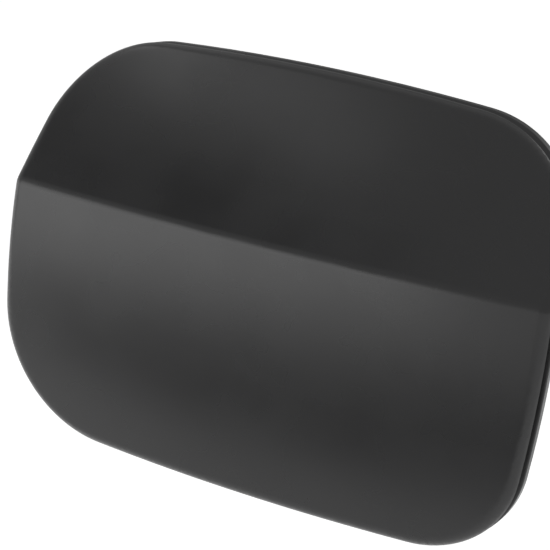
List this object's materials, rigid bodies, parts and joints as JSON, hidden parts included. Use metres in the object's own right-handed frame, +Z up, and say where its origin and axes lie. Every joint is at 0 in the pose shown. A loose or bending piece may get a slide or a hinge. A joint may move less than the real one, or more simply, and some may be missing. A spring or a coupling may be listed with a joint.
{
  "type": "car fuel door",
  "caption": "Creased and crowned car fuel door with rounded corners: satin black outer panel on a moulded inner panel, with a sprung pin hinge, latch striker and filler cap holder.",
  "frame": {"origin": "middle of the hinge bracket's bolting face, between its two bolt holes", "axes": "+X right across the door seen from outside, +Z up along the hinge pin, +Y in towards the car; the outer face looks along -Y"},
  "size_m": [0.2025, 0.0546, 0.1456],
  "materials": {
    "satin_black": "satin black, primed",
    "moulded_black": "fine grained",
    "coated_steel": "black electrocoat",
    "zinc_steel": "zinc plated",
    "spring_steel": "drawn wire",
    "bush_plastic": "natural",
    "rubber": "matt"
  },
  "bodies": {
    "base": {"hinge_bracket": "coated_steel", "hinge_pin": "zinc_steel", "pin_clip": "zinc_steel", "hinge_spring": "spring_steel", "open_stop": "rubber"},
    "door": {"outer_panel": "satin_black", "inner_panel": "moulded_black", "hinge_arm": "coated_steel", "arm_screws": "zinc_steel", "upper_bush": "bush_plastic", "lower_bush": "bush_plastic", "striker": "zinc_steel", "striker_screws": "zinc_steel", "upper_buffer": "rubber", "lower_buffer": "rubber", "cap_holder": "moulded_black"}
  },
  "joints": [
    {"name": "door_hinge", "type": "hinge", "parent": "base", "child": "door", "pos_m": [-0.025, -0.0274, 0], "axis": [0, 0, -1], "range_deg": [0, 100], "deforming": ["hinge_spring"]}
  ]
}
